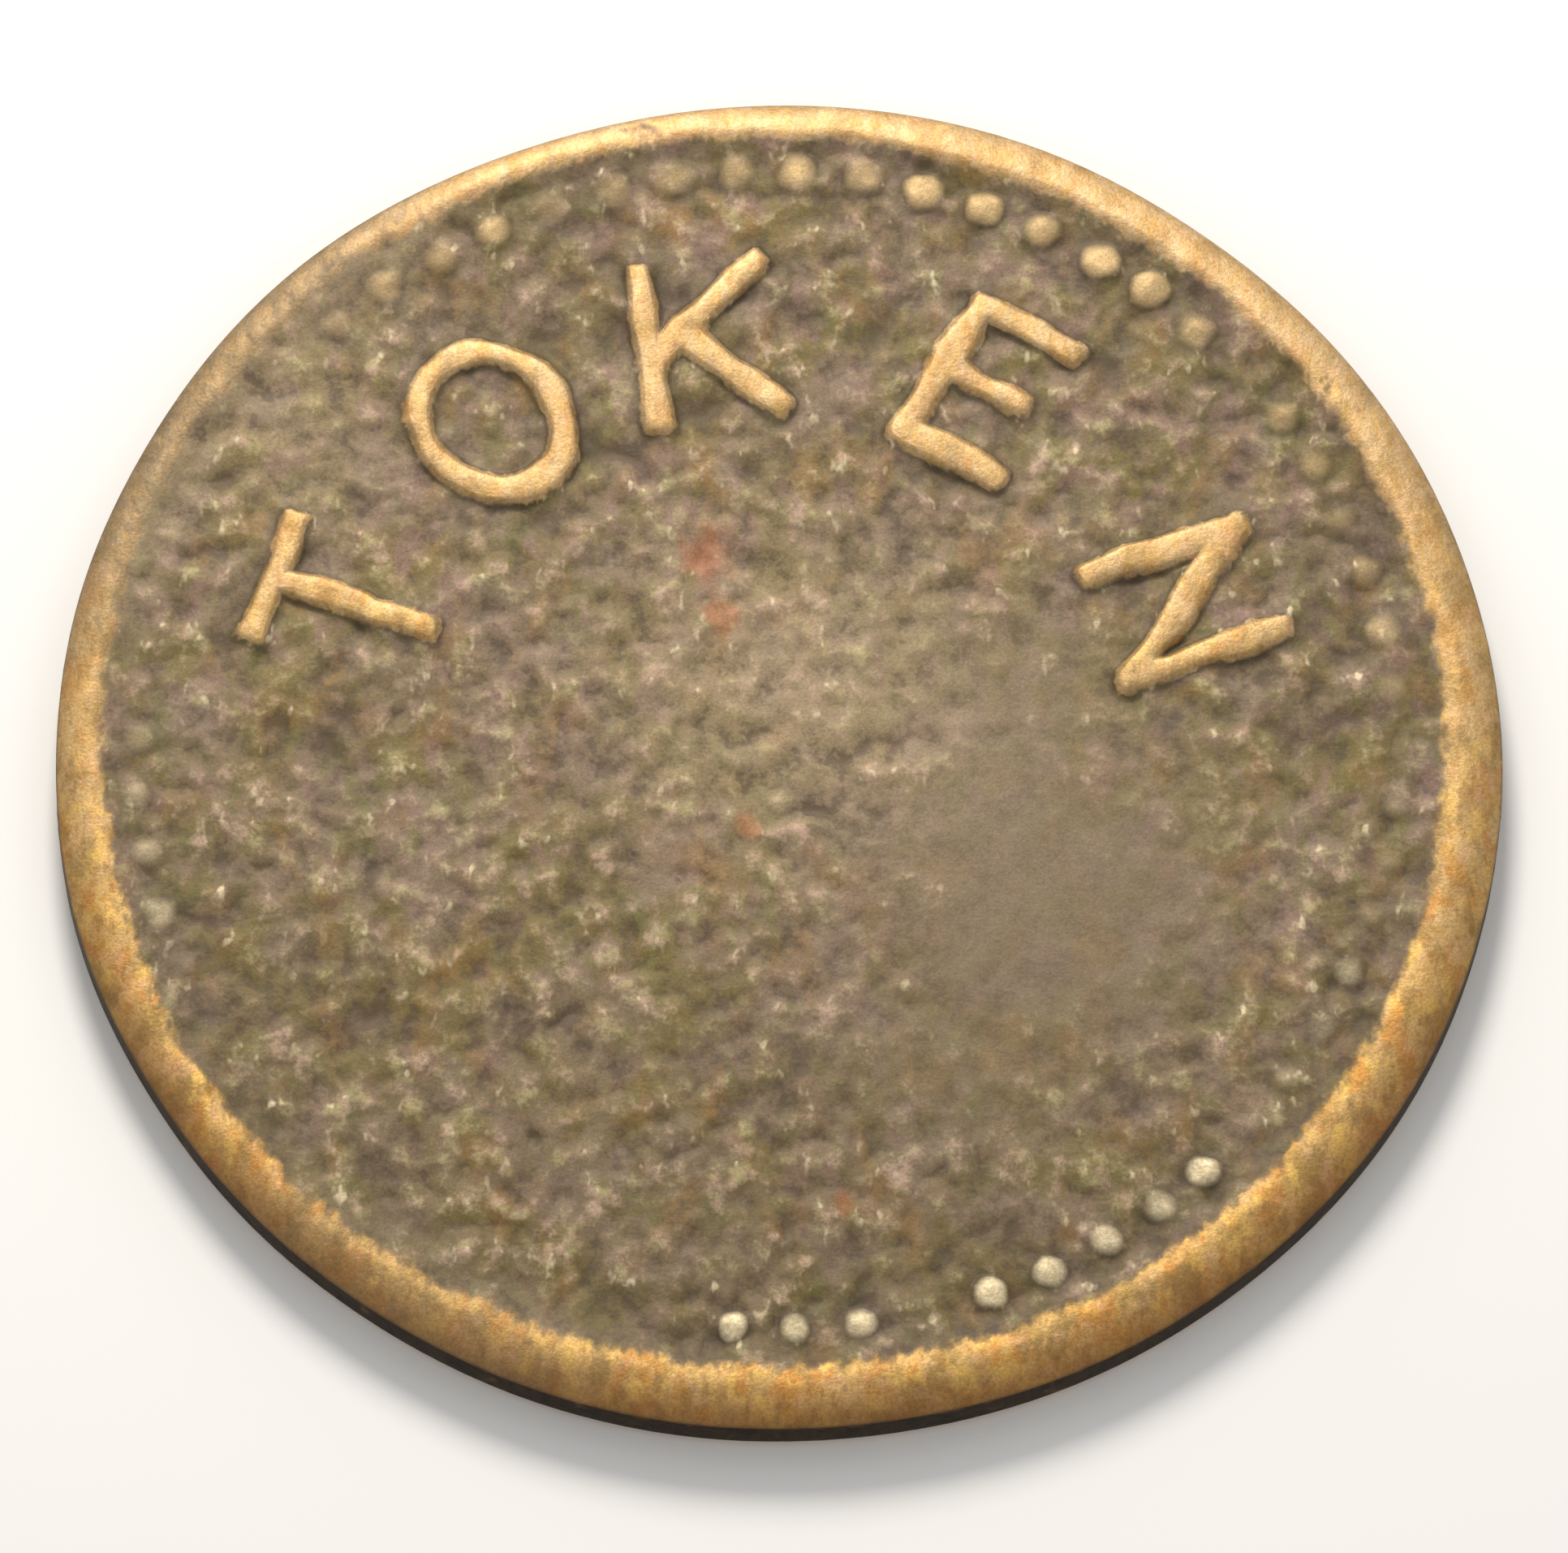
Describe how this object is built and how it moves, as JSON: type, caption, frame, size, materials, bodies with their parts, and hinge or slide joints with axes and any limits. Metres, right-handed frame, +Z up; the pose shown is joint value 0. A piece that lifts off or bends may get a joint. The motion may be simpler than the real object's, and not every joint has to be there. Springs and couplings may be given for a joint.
{
  "type": "transit token",
  "caption": "Round struck brass fare token with a raised rim, a border of beads and raised letters in an arc, plain edge.",
  "frame": {"origin": "centre of the underside of the token: the middle of its outline, on the plane of the back face's rim, which is the surface it rests on", "axes": "+Z up out of the lettered face, through the thickness; +Y towards the top of the arc of letters; +X to the right of someone who reads them"},
  "size_m": [0.024, 0.024, 0.001],
  "materials": {
    "worn_brass": "circulated struck brass: dark olive-brown patina in the pitted fields, rubbed back to bright golden metal on the rim, beads and letters"
  },
  "bodies": {
    "root": {"struck_token": "worn_brass"}
  },
  "joints": []
}
